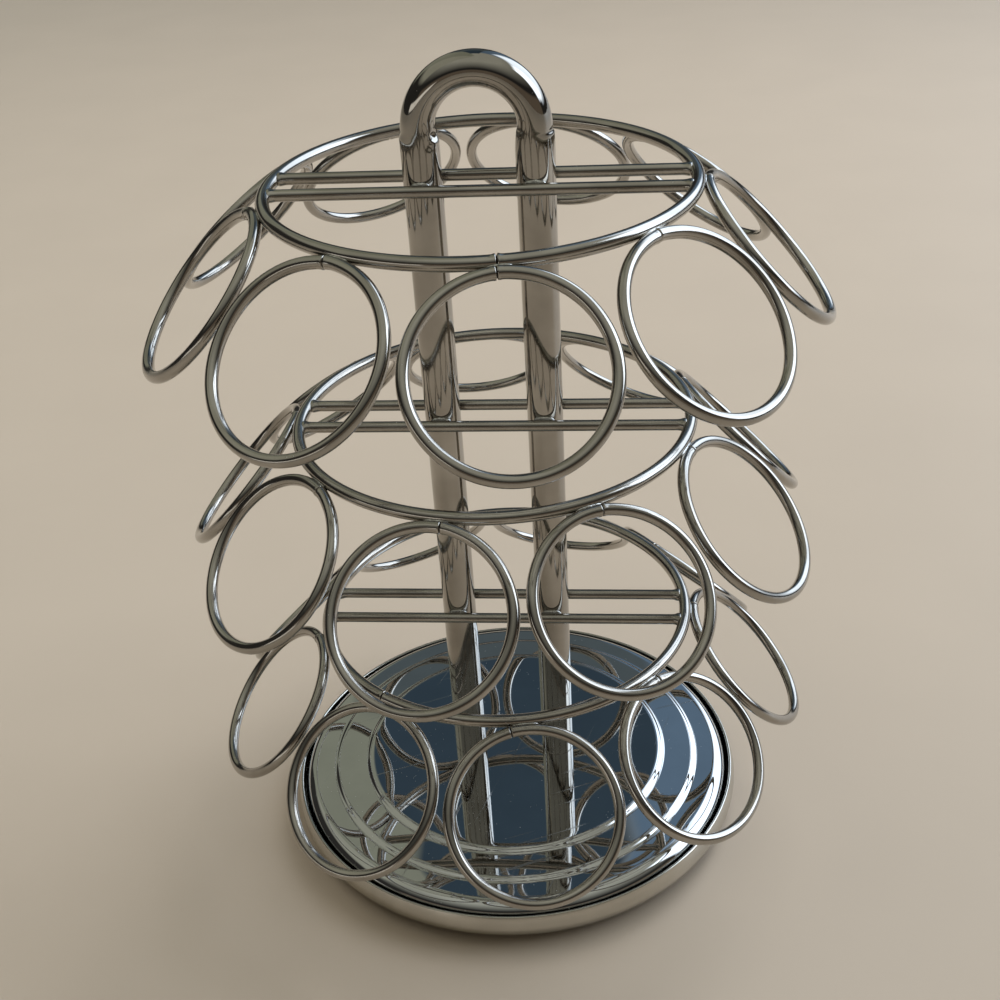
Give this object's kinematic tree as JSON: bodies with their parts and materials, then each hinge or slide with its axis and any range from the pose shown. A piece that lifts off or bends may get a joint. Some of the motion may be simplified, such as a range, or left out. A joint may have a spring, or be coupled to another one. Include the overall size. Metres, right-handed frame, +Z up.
{
  "type": "coffee pod carousel",
  "caption": "Free-standing chrome wire carousel: leaning rings on three round hoops hold single-serve coffee pods, and the tower spins on its round base by a bent tube handle.",
  "frame": {"origin": "on the spin axis, at the floor that the rubber feet rest on", "axes": "+Z up along the spin axis; +X along the cross wires, from one post to the other; -Y is the front"},
  "size_m": [0.2002, 0.1984, 0.2583],
  "materials": {
    "chrome_wire": "bright chrome plating",
    "chrome_tube": "bright chrome plating",
    "chrome_cover": "mirror chrome with fine scratches",
    "chrome_pan": "bright chrome plating",
    "plain_steel": "oiled rolled steel",
    "zinc_fasteners": "zinc plated",
    "bearing_steel": "ground and polished",
    "cage_plastic": "moulded",
    "black_rubber": "matte"
  },
  "bodies": {
    "base": {"base_pan": "chrome_pan", "rubber_feet": "black_rubber", "lower_race": "plain_steel", "lower_race_rivets": "zinc_fasteners", "pivot_bolt": "zinc_fasteners", "pivot_washer": "zinc_fasteners", "pivot_nut": "zinc_fasteners"},
    "ball_ring": {"bearing_balls": "bearing_steel", "bearing_cage": "cage_plastic"},
    "carousel": {"handle_tube": "chrome_tube", "post_end_plugs": "zinc_fasteners", "post_screws": "zinc_fasteners", "post_lock_washers": "zinc_fasteners", "base_cover": "chrome_cover", "turntable_plate": "plain_steel", "upper_race": "plain_steel", "upper_race_rivets": "zinc_fasteners", "lower_hoop": "chrome_wire", "middle_hoop": "chrome_wire", "upper_hoop": "chrome_wire", "lower_front_cross_wire": "chrome_wire", "lower_rear_cross_wire": "chrome_wire", "middle_front_cross_wire": "chrome_wire", "middle_rear_cross_wire": "chrome_wire", "upper_front_cross_wire": "chrome_wire", "upper_rear_cross_wire": "chrome_wire", "lower_pod_ring_1": "chrome_wire", "lower_pod_ring_2": "chrome_wire", "lower_pod_ring_3": "chrome_wire", "lower_pod_ring_4": "chrome_wire", "lower_pod_ring_5": "chrome_wire", "lower_pod_ring_6": "chrome_wire", "lower_pod_ring_7": "chrome_wire", "lower_pod_ring_8": "chrome_wire", "lower_pod_ring_9": "chrome_wire", "middle_pod_ring_1": "chrome_wire", "middle_pod_ring_2": "chrome_wire", "middle_pod_ring_3": "chrome_wire", "middle_pod_ring_4": "chrome_wire", "middle_pod_ring_5": "chrome_wire", "middle_pod_ring_6": "chrome_wire", "middle_pod_ring_7": "chrome_wire", "middle_pod_ring_8": "chrome_wire", "middle_pod_ring_9": "chrome_wire", "upper_pod_ring_1": "chrome_wire", "upper_pod_ring_2": "chrome_wire", "upper_pod_ring_3": "chrome_wire", "upper_pod_ring_4": "chrome_wire", "upper_pod_ring_5": "chrome_wire", "upper_pod_ring_6": "chrome_wire", "upper_pod_ring_7": "chrome_wire", "upper_pod_ring_8": "chrome_wire", "upper_pod_ring_9": "chrome_wire"}
  },
  "joints": [
    {"name": "carousel_spin", "type": "hinge", "parent": "base", "child": "carousel", "pos_m": [0, 0, 0.0083], "axis": [0, 0, 1], "continuous": true},
    {"name": "ball_ring_spin", "type": "hinge", "parent": "base", "child": "ball_ring", "pos_m": [0, 0, 0.0083], "axis": [0, 0, 1], "continuous": true}
  ],
  "couplings": [
    {"joint": "ball_ring_spin", "follows": "carousel_spin", "ratio": 0.5}
  ]
}
